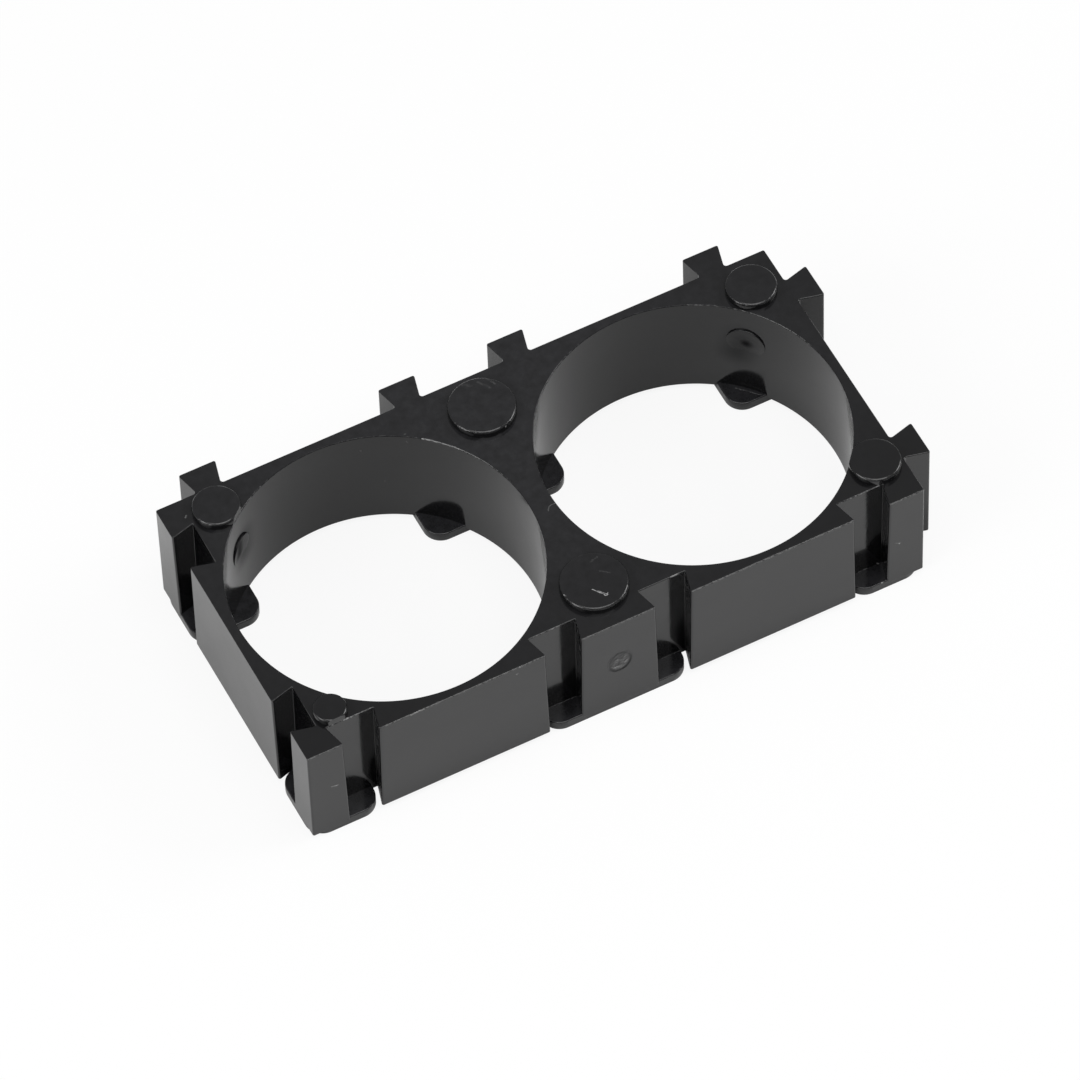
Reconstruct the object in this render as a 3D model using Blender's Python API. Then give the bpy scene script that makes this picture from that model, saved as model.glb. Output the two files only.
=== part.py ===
"""Battery cell holder bracket: one injection-moulded ABS piece that spaces two 32 mm round cells.

The block has two through bores for the cells. Dovetail tabs on two sides and dovetail slots on
the other two let holders be joined side by side. Lips under the posts stop the cells, and raised
round pads stand on the top face.
"""

import math

import bmesh
import bpy
from mathutils import Matrix, Vector

MM = 0.001

# Cells and bores
CELL_DIAMETER = 32.2 * MM
CELL_CLEARANCE = 0.3 * MM

# Block: its walls are those at the narrowest places beside the bores
MIDDLE_WALL = 2.5 * MM
SIDE_WALL = 1.0 * MM
END_WALL = 1.05 * MM
BODY_HEIGHT = 13.7 * MM
EDGE_ROUND = 0.12 * MM
CORNER_ROUND = 0.2 * MM

# Dovetail slots, and the tabs that go into the slots of the next holder
SLOT_DEPTH = 2.6 * MM
SLOT_TO_BORE_WALL = 0.765 * MM
SLOT_TO_SLOT_WALL = 0.75 * MM
SLOT_CORNER_ROUND = 0.06 * MM
SLOT_DRAFT = math.radians(1.0)
DOVETAIL_ANGLE = math.radians(14.5)
TAB_ROOT_ROUND = 0.3 * MM
TAB_SIDE_CLEARANCE = 0.6 * MM
TAB_TIP_CLEARANCE = 0.3 * MM

# Lips that stop the cells
LIP_THICKNESS = 1.2 * MM
LIP_DROP = 0.65 * MM
LIP_CORNER_ROUND = 2.0 * MM
LIP_DEPTH = 8.0 * MM
CORNER_LIP_LENGTH = 7.8 * MM
MIDDLE_LIP_LENGTH = 16.0 * MM
LIP_SETBACK = 0.03 * MM

# Raised pads: how far each centre lies from its end face and its side face. The one at the front
# left is smaller, to fit the neck between two slots and the bore.
PAD_HEIGHT = 0.85 * MM
PAD_RIM_ROUND = 0.25 * MM
PAD_SETBACK = 0.06 * MM
CORNER_PAD_DIAMETER = 5.4 * MM
NECK_PAD_DIAMETER = 3.5 * MM
MIDDLE_PAD_DIAMETER = 7.1 * MM
BACK_LEFT_PAD = (5.75 * MM, 2.85 * MM)
BACK_RIGHT_PAD = (3.55 * MM, 3.9 * MM)
FRONT_LEFT_PAD = (4.6 * MM, 4.15 * MM)
FRONT_RIGHT_PAD = (2.85 * MM, 5.2 * MM)
BACK_MIDDLE_PAD = 4.45 * MM
FRONT_MIDDLE_PAD = 5.35 * MM

# Moulding marks: an oval gate recess with its stub on the front, and a low round pad high on the
# back wall of each bore
GATE_WIDTH = 2.7 * MM
GATE_HEIGHT = 3.3 * MM
GATE_DEPTH = 0.08 * MM
GATE_BELOW_TOP = 6.6 * MM
GATE_STUB_DIAMETER = 0.7 * MM
GATE_STUB_SETBACK = 0.02 * MM
GATE_STUB_ASIDE = 0.26 * MM
GATE_STUB_ABOVE = 0.1 * MM
WALL_PAD_DIAMETER = 4.2 * MM
WALL_PAD_HEIGHT = 0.2 * MM
WALL_PAD_BELOW_TOP = 5.2 * MM
WALL_PAD_ANGLE = math.radians(42.9)

# Fineness of the round forms
CIRCLE_POINTS = 96
EDGE_POINTS = 2
CORNER_POINTS = 3
LIP_CORNER_POINTS = 6
PAD_POINTS = 40
PAD_RIM_POINTS = 2
MARK_POINTS = 32

# How far a form runs past the faces it cuts or joins
OVERRUN = 1.0 * MM
FLARE_OVERRUN = 0.02 * MM
OVERLAP = 0.5 * MM
MERGE_DISTANCE = 0.001 * MM

# Edges steeper than this are shaded sharp
SHARP_ANGLE = math.radians(35.0)

BORE_RADIUS = (CELL_DIAMETER + CELL_CLEARANCE) / 2
PITCH = 2 * BORE_RADIUS + MIDDLE_WALL
HALF_LENGTH = PITCH / 2 + BORE_RADIUS + END_WALL
HALF_WIDTH = BORE_RADIUS + SIDE_WALL
BODY_BOTTOM = LIP_DROP
BODY_TOP = BODY_BOTTOM + BODY_HEIGHT
CELL_AXES = (-PITCH / 2, PITCH / 2)

# A slot is as wide as the corner post allows, between the bore's wall and the wall to the slot
# round the corner. Both distances are from the axis of the bore.
SLOT_NEAR_CORNER = math.sqrt((BORE_RADIUS + SLOT_TO_BORE_WALL) ** 2 - (HALF_WIDTH - SLOT_DEPTH) ** 2)
SLOT_FAR_CORNER = BORE_RADIUS + END_WALL - SLOT_DEPTH - SLOT_TO_SLOT_WALL
DOVETAIL_OFFSET = (SLOT_NEAR_CORNER + SLOT_FAR_CORNER) / 2
FLARE = math.tan(DOVETAIL_ANGLE)
SLOT_INSIDE = SLOT_FAR_CORNER - SLOT_NEAR_CORNER
SLOT_MOUTH = SLOT_INSIDE - 2 * SLOT_DEPTH * FLARE
TAB_ROOT = SLOT_MOUTH - 2 * TAB_SIDE_CLEARANCE
HOLDER_GAP = PITCH - 2 * HALF_WIDTH
TAB_LENGTH = SLOT_DEPTH + HOLDER_GAP - TAB_TIP_CLEARANCE

BLACK_ABS_COLOUR = (0.012, 0.012, 0.013, 1.0)
BLACK_ABS_ROUGHNESS = 0.3

ALONG = Vector((1, 0))
BACK = Vector((0, 1))


def clear_scene():
    """Remove the objects that the file opened with."""
    for thing in list(bpy.data.objects):
        bpy.data.objects.remove(thing, do_unlink=True)


def new_collection(name):
    """Add an empty collection to the scene."""
    collection = bpy.data.collections.new(name)
    bpy.context.scene.collection.children.link(collection)
    return collection


def black_abs():
    """Black moulded ABS: even in colour, with a low sheen."""
    material = bpy.data.materials.new("black_abs")
    material.use_nodes = True
    shader = material.node_tree.nodes["Principled BSDF"]
    shader.inputs["Base Color"].default_value = BLACK_ABS_COLOUR
    shader.inputs["Roughness"].default_value = BLACK_ABS_ROUGHNESS
    shader.inputs["Metallic"].default_value = 0.0
    return material


def object_from_bmesh(name, shape, collection, parent):
    """Turn a closed bmesh into a named object with its faces pointing out."""
    bmesh.ops.recalc_face_normals(shape, faces=shape.faces)
    mesh = bpy.data.meshes.new(name)
    shape.to_mesh(mesh)
    shape.free()
    mesh.shade_smooth()
    mesh.set_sharp_from_angle(angle=SHARP_ANGLE)
    thing = bpy.data.objects.new(name, mesh)
    thing.parent = parent
    collection.objects.link(thing)
    return thing


def as_form(thing):
    """Show a form that only shapes the holder as a wire, and keep it out of renders."""
    thing.hide_render = True
    thing.display_type = "WIRE"
    return thing


def arc(centre, radius, start, sweep, points):
    """Points along an arc, both ends included."""
    angles = [start + sweep * i / points for i in range(points + 1)]
    return [centre + radius * Vector((math.cos(a), math.sin(a))) for a in angles]


def rounded_outline(corners, points):
    """A closed outline through the corners, each given with the radius that rounds it."""
    outline = []
    for i, (corner, radius) in enumerate(corners):
        before = (corners[i - 1][0] - corner).normalized()
        after = (corners[(i + 1) % len(corners)][0] - corner).normalized()
        half_angle = before.angle(after) / 2
        centre = corner + (before + after).normalized() * radius / math.sin(half_angle)
        spoke = corner + before * radius / math.tan(half_angle) - centre
        turn = before.x * after.y - before.y * after.x
        sweep = math.copysign(math.pi - 2 * half_angle, -turn)
        outline += arc(centre, radius, math.atan2(spoke.y, spoke.x), sweep, points)
    return outline


def trim_circle(centre, radius):
    """A closed circle, turned by half a step so that its corners miss those of the bores."""
    return arc(centre, radius, math.pi / CIRCLE_POINTS, 2 * math.pi, CIRCLE_POINTS)[:-1]


def dovetail_corners(middle, along, outward, width, reach):
    """The four corners of a tab, or of a slot where reach is negative, in order along the side."""
    far = middle + reach * outward
    half = along * width / 2
    far_half = along * (width / 2 + abs(reach) * FLARE)
    return [middle - half, far - far_half, far + far_half, middle + half]


def rounded_slot(middle, along, outward):
    """A slot's corners, each with its round."""
    rounds = (CORNER_ROUND, SLOT_CORNER_ROUND, SLOT_CORNER_ROUND, CORNER_ROUND)
    return list(zip(dovetail_corners(middle, along, outward, SLOT_MOUTH, -SLOT_DEPTH), rounds))


def rounded_tab(middle, along, outward):
    """A tab's corners, each with its round."""
    rounds = (TAB_ROOT_ROUND, CORNER_ROUND, CORNER_ROUND, TAB_ROOT_ROUND)
    return list(zip(dovetail_corners(middle, along, outward, TAB_ROOT, TAB_LENGTH), rounds))


def dovetail_places(side):
    """Where the dovetails' middles lie along a side, as points on its face."""
    offsets = (-DOVETAIL_OFFSET, DOVETAIL_OFFSET)
    if side in ("front", "back"):
        y = HALF_WIDTH if side == "back" else -HALF_WIDTH
        return [Vector((axis + offset, y)) for axis in CELL_AXES for offset in offsets]
    x = HALF_LENGTH if side == "right" else -HALF_LENGTH
    return [Vector((x, offset)) for offset in offsets]


def block_corners():
    """Corners of the block's outline, going round it anticlockwise from the front left."""
    corners = [(Vector((-HALF_LENGTH, -HALF_WIDTH)), CORNER_ROUND)]
    for middle in dovetail_places("front"):
        corners += rounded_slot(middle, ALONG, -BACK)
    corners.append((Vector((HALF_LENGTH, -HALF_WIDTH)), CORNER_ROUND))
    for middle in dovetail_places("right"):
        corners += rounded_tab(middle, BACK, ALONG)
    corners.append((Vector((HALF_LENGTH, HALF_WIDTH)), CORNER_ROUND))
    for middle in reversed(dovetail_places("back")):
        corners += rounded_tab(middle, -ALONG, BACK)
    corners.append((Vector((-HALF_LENGTH, HALF_WIDTH)), CORNER_ROUND))
    for middle in reversed(dovetail_places("left")):
        corners += rounded_slot(middle, -BACK, -ALONG)
    return corners


def slab(name, outlines, low, high, edge_round):
    """A solid between two heights inside each outline, with round rims and each cap one face."""
    curve = bpy.data.curves.new(name, "CURVE")
    curve.dimensions = "2D"
    curve.fill_mode = "BOTH"
    curve.extrude = (high - low) / 2 - edge_round
    curve.bevel_depth = edge_round
    curve.bevel_resolution = EDGE_POINTS - 1
    curve.offset = -edge_round
    for outline in outlines:
        spline = curve.splines.new("POLY")
        spline.points.add(len(outline) - 1)
        for target, point in zip(spline.points, outline):
            target.co = (point.x, point.y, 0, 1)
        spline.use_cyclic_u = True
    thing = bpy.data.objects.new(name, curve)
    bpy.context.scene.collection.objects.link(thing)
    depsgraph = bpy.context.evaluated_depsgraph_get()
    mesh = bpy.data.meshes.new_from_object(thing.evaluated_get(depsgraph))
    bpy.data.objects.remove(thing, do_unlink=True)
    shape = bmesh.new()
    shape.from_mesh(mesh)
    bpy.data.meshes.remove(mesh)
    bmesh.ops.remove_doubles(shape, verts=shape.verts, dist=MERGE_DISTANCE)
    cap_height = (high - low) / 2 - MERGE_DISTANCE
    caps = [face for face in shape.faces if abs(face.calc_center_median().z) > cap_height]
    bmesh.ops.delete(shape, geom=caps, context="FACES")
    bmesh.ops.edgeloop_fill(shape, edges=[edge for edge in shape.edges if edge.is_boundary])
    bmesh.ops.translate(shape, verts=shape.verts, vec=(0, 0, (low + high) / 2))
    return shape


def draft_slots(shape):
    """Narrow each slot from the top down, so that the next holder slides in easily."""
    reach = SLOT_INSIDE / 2 + 2 * EDGE_ROUND
    depth = SLOT_DEPTH + 2 * EDGE_ROUND
    sides = (("front", ALONG, BACK), ("left", BACK, ALONG))
    for side, along, inward in sides:
        for middle in dovetail_places(side):
            for vert in shape.verts:
                offset = vert.co.xy - middle
                aside, inside = offset.dot(along), offset.dot(inward)
                if abs(aside) > reach or inside > depth:
                    continue
                taper = (BODY_TOP - vert.co.z) * math.tan(SLOT_DRAFT)
                vert.co.xy -= along * math.copysign(taper, aside)
                if inside > SLOT_DEPTH / 2:
                    vert.co.xy -= inward * taper


def block(collection, parent):
    """The block with its tabs and slots, before it is bored."""
    outline = rounded_outline(block_corners(), CORNER_POINTS)
    shape = slab("block_outline", [outline], BODY_BOTTOM, BODY_TOP, EDGE_ROUND)
    draft_slots(shape)
    return object_from_bmesh("cell_holder_bracket", shape, collection, parent)


def bore_forms(collection, parent):
    """A turned form for each bore, flared at both ends where the bore's rims are round."""
    flare = BORE_RADIUS + EDGE_ROUND
    low, high = BODY_BOTTOM + EDGE_ROUND - FLARE_OVERRUN, BODY_TOP - EDGE_ROUND + FLARE_OVERRUN
    low_arc = arc(Vector((flare, low)), EDGE_ROUND, -math.pi / 2, -math.pi / 2, EDGE_POINTS)
    high_arc = arc(Vector((flare, high)), EDGE_ROUND, math.pi, -math.pi / 2, EDGE_POINTS)
    profile = [Vector((0, BODY_BOTTOM - OVERRUN)), Vector((flare, BODY_BOTTOM - OVERRUN))]
    profile += low_arc + high_arc
    profile += [Vector((flare, BODY_TOP + OVERRUN)), Vector((0, BODY_TOP + OVERRUN))]
    shape = bmesh.new()
    for x in CELL_AXES:
        verts = [shape.verts.new((x + point.x, 0, point.y)) for point in profile]
        edges = [shape.edges.new(pair) for pair in zip(verts, verts[1:])]
        bmesh.ops.spin(
            shape, geom=verts + edges, cent=(x, 0, 0), axis=(0, 0, 1), angle=2 * math.pi,
            steps=CIRCLE_POINTS,
        )
    bmesh.ops.remove_doubles(shape, verts=shape.verts, dist=MERGE_DISTANCE)
    return as_form(object_from_bmesh("bore_forms", shape, collection, parent))


def pad_places():
    """Centre and diameter of each raised pad."""
    corners = (
        (BACK_LEFT_PAD, CORNER_PAD_DIAMETER, -1, 1),
        (BACK_RIGHT_PAD, CORNER_PAD_DIAMETER, 1, 1),
        (FRONT_LEFT_PAD, NECK_PAD_DIAMETER, -1, -1),
        (FRONT_RIGHT_PAD, CORNER_PAD_DIAMETER, 1, -1),
    )
    places = []
    for (from_end, from_side), diameter, x_sign, y_sign in corners:
        centre = Vector((x_sign * (HALF_LENGTH - from_end), y_sign * (HALF_WIDTH - from_side)))
        places.append((centre, diameter))
    places.append((Vector((0, HALF_WIDTH - BACK_MIDDLE_PAD)), MIDDLE_PAD_DIAMETER))
    places.append((Vector((0, FRONT_MIDDLE_PAD - HALF_WIDTH)), MIDDLE_PAD_DIAMETER))
    return places


def pad_forms(collection, parent):
    """Raised round pads on the top face, with rounded rims."""
    shape = bmesh.new()
    low, high = BODY_TOP - OVERLAP, BODY_TOP + PAD_HEIGHT
    for centre, diameter in pad_places():
        place = Matrix.Translation((centre.x, centre.y, (low + high) / 2))
        bmesh.ops.create_cone(
            shape, cap_ends=True, segments=PAD_POINTS, radius1=diameter / 2, radius2=diameter / 2,
            depth=high - low, matrix=place,
        )
    rims = [edge for edge in shape.edges if all(vert.co.z > BODY_TOP + OVERLAP / 2 for vert in edge.verts)]
    bmesh.ops.bevel(
        shape, geom=rims, offset=PAD_RIM_ROUND, offset_type="OFFSET", segments=PAD_RIM_POINTS,
        profile=0.5, affect="EDGES",
    )
    return as_form(object_from_bmesh("pad_forms", shape, collection, parent))


def bore_and_slot_forms(collection, parent):
    """The spaces of the bores and slots, a hair wider, which trim the pads."""
    low, high = BODY_TOP - OVERLAP - OVERRUN, BODY_TOP + PAD_HEIGHT + OVERRUN
    radius = BORE_RADIUS + PAD_SETBACK
    outlines = [trim_circle(Vector((x, 0)), radius) for x in CELL_AXES]
    depth = SLOT_DEPTH + PAD_SETBACK
    for side, along, outward in (("front", ALONG, -BACK), ("left", BACK, -ALONG)):
        for middle in dovetail_places(side):
            start = middle + outward * OVERRUN
            width = SLOT_MOUTH - 2 * (OVERRUN - PAD_SETBACK) * FLARE
            outlines.append(dovetail_corners(start, along, outward, width, -depth - OVERRUN))
    shape = slab("space_outlines", outlines, low, high, 0)
    return as_form(object_from_bmesh("bore_and_slot_forms", shape, collection, parent))


def lip_forms(collection, parent):
    """Thin lips under the six posts, reaching into the bores below the cells."""
    end, side = HALF_LENGTH - LIP_SETBACK, HALF_WIDTH - LIP_SETBACK
    inner = HALF_WIDTH - LIP_DEPTH
    spans = (
        (-end, CORNER_LIP_LENGTH - HALF_LENGTH),
        (-MIDDLE_LIP_LENGTH / 2, MIDDLE_LIP_LENGTH / 2),
        (HALF_LENGTH - CORNER_LIP_LENGTH, end),
    )
    outlines = []
    for x_low, x_high in spans:
        for y_low, y_high in ((-side, -inner), (inner, side)):
            corners = ((x_low, y_low), (x_high, y_low), (x_high, y_high), (x_low, y_high))
            rounded = [(Vector(corner), LIP_CORNER_ROUND) for corner in corners]
            outlines.append(rounded_outline(rounded, LIP_CORNER_POINTS))
    shape = slab("lip_outlines", outlines, 0, LIP_THICKNESS, EDGE_ROUND)
    return as_form(object_from_bmesh("lip_forms", shape, collection, parent))


def add_disc(shape, width, height, length, place):
    """Add a short capped round or oval cylinder whose axis is the place's local Z."""
    bmesh.ops.create_cone(
        shape, cap_ends=True, segments=MARK_POINTS, radius1=0.5, radius2=0.5, depth=length,
        matrix=place @ Matrix.Diagonal((width, height, 1, 1)),
    )


def gate_recess_form(collection, parent):
    """The shallow oval that the gate leaves in the front face."""
    shape = bmesh.new()
    face = Matrix.Translation((0, -HALF_WIDTH, BODY_TOP - GATE_BELOW_TOP))
    turned = Matrix.Rotation(math.pi / 2, 4, "X")
    add_disc(shape, GATE_WIDTH, GATE_HEIGHT, 2 * GATE_DEPTH, face @ turned)
    return as_form(object_from_bmesh("gate_recess_form", shape, collection, parent))


def wall_pad_and_stub_forms(collection, parent):
    """The low pad on each bore's back wall, and the broken-off stub in the gate recess."""
    shape = bmesh.new()
    for x, angle in zip(CELL_AXES, (math.pi - WALL_PAD_ANGLE, WALL_PAD_ANGLE)):
        spoke = Vector((math.cos(angle), math.sin(angle), 0))
        length = WALL_PAD_HEIGHT + OVERLAP
        middle = BORE_RADIUS - WALL_PAD_HEIGHT + length / 2
        place = Matrix.Translation(Vector((x, 0, BODY_TOP - WALL_PAD_BELOW_TOP)) + spoke * middle)
        turned = Matrix.Rotation(angle, 4, "Z") @ Matrix.Rotation(math.pi / 2, 4, "Y")
        add_disc(shape, WALL_PAD_DIAMETER, WALL_PAD_DIAMETER, length, place @ turned)
    middle = -HALF_WIDTH + GATE_STUB_SETBACK + OVERLAP / 2
    place = Matrix.Translation((GATE_STUB_ASIDE, middle, BODY_TOP - GATE_BELOW_TOP + GATE_STUB_ABOVE))
    turned = Matrix.Rotation(math.pi / 2, 4, "X")
    add_disc(shape, GATE_STUB_DIAMETER, GATE_STUB_DIAMETER, OVERLAP, place @ turned)
    return as_form(object_from_bmesh("wall_pad_and_stub_forms", shape, collection, parent))


def add_boolean(target, form, operation):
    """Join the form to the target, or cut it away."""
    modifier = target.modifiers.new(form.name, "BOOLEAN")
    modifier.operation = operation
    modifier.solver = "EXACT"
    modifier.object = form


def build():
    """Model the holder and leave it standing on its lips."""
    clear_scene()
    parts = new_collection("battery_cell_holder_bracket")
    forms = new_collection("forms")
    frame = bpy.data.objects.new("holder_frame", None)
    frame.location = (-TAB_LENGTH / 2, -TAB_LENGTH / 2, 0)
    parts.objects.link(frame)
    holder = block(parts, frame)
    holder.data.materials.append(black_abs())
    add_boolean(holder, bore_forms(forms, frame), "DIFFERENCE")
    pads = pad_forms(forms, frame)
    add_boolean(pads, bore_and_slot_forms(forms, frame), "DIFFERENCE")
    add_boolean(holder, pads, "UNION")
    add_boolean(holder, lip_forms(forms, frame), "UNION")
    add_boolean(holder, gate_recess_form(forms, frame), "DIFFERENCE")
    add_boolean(holder, wall_pad_and_stub_forms(forms, frame), "UNION")


build()
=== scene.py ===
"""Battery cell holder bracket: the finished surface of one injection-moulded black ABS piece.

The holder spaces two 32 mm round cells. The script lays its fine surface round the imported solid,
gives it the moulded plastic's finish, and sets up a pale studio floor with a camera.
"""

import math

import bmesh
import bpy
from mathutils import Matrix, Vector


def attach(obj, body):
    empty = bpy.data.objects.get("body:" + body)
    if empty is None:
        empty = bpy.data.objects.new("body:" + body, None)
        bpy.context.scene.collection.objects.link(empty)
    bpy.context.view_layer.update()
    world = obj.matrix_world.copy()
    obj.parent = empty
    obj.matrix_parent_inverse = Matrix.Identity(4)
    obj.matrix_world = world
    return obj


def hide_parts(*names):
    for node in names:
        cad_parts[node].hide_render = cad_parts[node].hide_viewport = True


bl_info = {
    "name": "Battery cell holder",
    "version": (1, 0, 0),
    "blender": (4, 5, 0),
    "location": "3D View > Sidebar > Cell Holder",
    "description": "Builds the finished surface of a moulded two-cell battery holder and its stage",
    "category": "Object",
}

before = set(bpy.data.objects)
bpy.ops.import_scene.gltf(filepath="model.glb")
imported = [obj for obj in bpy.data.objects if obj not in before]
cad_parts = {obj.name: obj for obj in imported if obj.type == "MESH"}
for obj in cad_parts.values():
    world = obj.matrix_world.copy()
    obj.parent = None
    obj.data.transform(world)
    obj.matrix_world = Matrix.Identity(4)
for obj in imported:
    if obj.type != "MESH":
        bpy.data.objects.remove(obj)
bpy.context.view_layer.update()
NODE = "cell_holder_bracket"

MM = 0.001

# How far a form runs past the faces that it cuts or joins, and how near points are merged
OVERRUN = 1.0 * MM
OVERLAP = 0.5 * MM
FLARE_OVERRUN = 0.01 * MM
MERGE_DISTANCE = 0.0005 * MM

# Fineness of the round forms
BORE_STEPS = 288
PAD_STEPS = 96
CORNER_STEPS = 8
EDGE_STEPS = 4
MARK_STEPS = 96
SHARP_ANGLE = math.radians(32.0)


# Sizes that a user would change


class HolderSizes(bpy.types.PropertyGroup):
    """Sizes of the moulded holder."""

    bore_diameter: bpy.props.FloatProperty(
        name="Bore Diameter", description="Diameter of the bores that take the cells",
        default=32.5 * MM, unit="LENGTH", precision=5,
    )
    middle_wall: bpy.props.FloatProperty(
        name="Middle Wall", description="Wall between the bores",
        default=2.5 * MM, unit="LENGTH", precision=5,
    )
    side_wall: bpy.props.FloatProperty(
        name="Side Wall", description="Thinnest wall at the long sides",
        default=1.0 * MM, unit="LENGTH", precision=5,
    )
    end_wall: bpy.props.FloatProperty(
        name="End Wall", description="Thinnest wall at the ends",
        default=1.05 * MM, unit="LENGTH", precision=5,
    )
    body_height: bpy.props.FloatProperty(
        name="Body Height", description="Height of the block without lips and pads",
        default=13.7 * MM, unit="LENGTH", precision=5,
    )
    edge_round: bpy.props.FloatProperty(
        name="Edge Round", description="Round of the block's horizontal edges",
        default=0.12 * MM, unit="LENGTH", precision=5,
    )
    corner_round: bpy.props.FloatProperty(
        name="Corner Round", description="Round of the block's upright corners",
        default=0.2 * MM, unit="LENGTH", precision=5,
    )
    slot_depth: bpy.props.FloatProperty(
        name="Slot Depth", description="Depth of the dovetail slots",
        default=2.6 * MM, unit="LENGTH", precision=5,
    )
    lip_thickness: bpy.props.FloatProperty(
        name="Lip Thickness", description="Thickness of the lips below the cells",
        default=1.2 * MM, unit="LENGTH", precision=5,
    )
    lip_drop: bpy.props.FloatProperty(
        name="Lip Drop", description="How far the lips stand below the block",
        default=0.65 * MM, unit="LENGTH", precision=5,
    )
    pad_height: bpy.props.FloatProperty(
        name="Pad Height", description="Height of the raised pads",
        default=0.85 * MM, unit="LENGTH", precision=5,
    )


class HolderFinish(bpy.types.PropertyGroup):
    """Colour and gloss of the moulded plastic."""

    plastic: bpy.props.StringProperty(
        name="Plastic", description="Colour of the black plastic, as an sRGB hex value",
        default="#0f0f10",
    )
    dusty: bpy.props.StringProperty(
        name="Dusty", description="Colour of the plastic under thick dust, as an sRGB hex value",
        default="#28282a",
    )
    # This colour also paints the highlights along some edges, rims and creases
    whitened_and_highlight: bpy.props.StringProperty(
        name="Whitened", description="Colour of scratched and stretched plastic, as an sRGB hex value",
        default="#b4b4b4",
    )
    roughness: bpy.props.FloatProperty(
        name="Roughness", description="Roughness of the moulded surface",
        default=0.11, min=0.0, max=1.0, subtype="FACTOR",
    )


class StageSettings(bpy.types.PropertyGroup):
    """Light and floor of the studio."""

    surroundings: bpy.props.FloatProperty(
        name="Surroundings", description="Brightness of the room round the floor",
        default=0.34, min=0.0, max=1.0,
    )
    overhead_power: bpy.props.FloatProperty(
        name="Overhead Power", description="Power of the wide soft box above, in watts",
        default=2.4, min=0.0,
    )
    left_power: bpy.props.FloatProperty(
        name="Left Power", description="Power of the soft box at the left, in watts",
        default=2.4, min=0.0,
    )
    right_power: bpy.props.FloatProperty(
        name="Right Power", description="Power of the soft box at the right, in watts",
        default=1.95, min=0.0,
    )
    shadow: bpy.props.FloatProperty(
        name="Shadow", description="Share of the floor's shading that shows as shadow",
        default=0.12, min=0.0, max=1.0, subtype="FACTOR",
    )


# Sizes that seldom change
SLOT_TO_BORE_WALL = 0.765 * MM
SLOT_TO_SLOT_WALL = 0.75 * MM
SLOT_CORNER_ROUND = 0.06 * MM
SLOT_DRAFT = math.radians(1.0)
DOVETAIL_ANGLE = math.radians(14.5)
TAB_ROOT_ROUND = 0.3 * MM
TAB_SIDE_CLEARANCE = 0.6 * MM
TAB_TIP_CLEARANCE = 0.3 * MM
LIP_CORNER_ROUND = 2.0 * MM
LIP_DEPTH = 8.0 * MM
CORNER_LIP_LENGTH = 7.8 * MM
MIDDLE_LIP_LENGTH = 16.0 * MM
LIP_SETBACK = 0.03 * MM
PAD_RIM_ROUND = 0.3 * MM
PAD_SETBACK = 0.06 * MM
MIDDLE_PAD_DIAMETER = 7.1 * MM
GATE_WIDTH = 2.7 * MM
GATE_HEIGHT = 3.3 * MM
GATE_DEPTH = 0.08 * MM
GATE_BELOW_TOP = 6.6 * MM
GATE_STUB_DIAMETER = 0.7 * MM
GATE_STUB_SETBACK = 0.02 * MM
GATE_STUB_ASIDE = 0.26 * MM
GATE_STUB_ABOVE = 0.1 * MM
WALL_PAD_HEIGHT = 0.2 * MM
WALL_PAD_RIM_ROUND = 0.08 * MM
# Height of a wall pad at its lower edge, as a share of its full height: there it dips into the wall
WALL_PAD_FOOT = -0.15
# The gate mark from its middle out, as shares of its half width and of its depth. It is deepest in a
# ring just inside its edge, and the last point lies off the face.
GATE_PROFILE = (
    (0.0, 0.35), (0.45, 0.4), (0.7, 0.55), (0.8, 0.9), (0.87, 1.0), (0.94, 0.75), (1.03, -0.4),
)

# Raised corner pads: distance of each centre from its end face and its side face, its diameter,
# and the signs of its corner
CORNER_PADS = (
    (5.5 * MM, 2.85 * MM, 5.05 * MM, -1, 1),
    (3.55 * MM, 3.9 * MM, 5.4 * MM, 1, 1),
    (4.6 * MM, 4.15 * MM, 3.5 * MM, -1, -1),
    (2.85 * MM, 5.2 * MM, 5.4 * MM, 1, -1),
)
# Low pads on the bores' back walls: the angle of each about its bore's axis, how far its middle lies
# below the block's top, and its diameter
WALL_PADS = ((math.radians(129.5), 5.5 * MM, 3.6 * MM), (math.radians(42.9), 5.25 * MM, 4.2 * MM))
# How far the middle pads' centres lie from the back and the front face
BACK_MIDDLE_PAD = 4.45 * MM
FRONT_MIDDLE_PAD = 5.35 * MM

ALONG = Vector((1, 0))
BACK = Vector((0, 1))


class Layout:
    """Sizes and places that follow from the ones a user sets, about the middle of the block."""

    def __init__(self, sizes):
        self.edge_round = sizes.edge_round
        self.corner_round = sizes.corner_round
        self.bore_radius = sizes.bore_diameter / 2
        self.pitch = sizes.bore_diameter + sizes.middle_wall
        self.half_length = self.pitch / 2 + self.bore_radius + sizes.end_wall
        self.half_width = self.bore_radius + sizes.side_wall
        self.bottom = sizes.lip_drop
        self.top = self.bottom + sizes.body_height
        self.lip_thickness = sizes.lip_thickness
        self.pad_height = sizes.pad_height
        self.axes = (-self.pitch / 2, self.pitch / 2)
        self.slot_depth = sizes.slot_depth
        reach = self.bore_radius + SLOT_TO_BORE_WALL
        near = math.sqrt(reach ** 2 - (self.half_width - self.slot_depth) ** 2)
        far = self.bore_radius + sizes.end_wall - self.slot_depth - SLOT_TO_SLOT_WALL
        self.flare = math.tan(DOVETAIL_ANGLE)
        self.dovetail_offset = (near + far) / 2
        self.slot_inside = far - near
        self.slot_mouth = self.slot_inside - 2 * self.slot_depth * self.flare
        self.tab_root = self.slot_mouth - 2 * TAB_SIDE_CLEARANCE
        self.tab_length = self.slot_depth + self.pitch - 2 * self.half_width - TAB_TIP_CLEARANCE
        self.place = Vector((-self.tab_length / 2, -self.tab_length / 2, 0))


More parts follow.
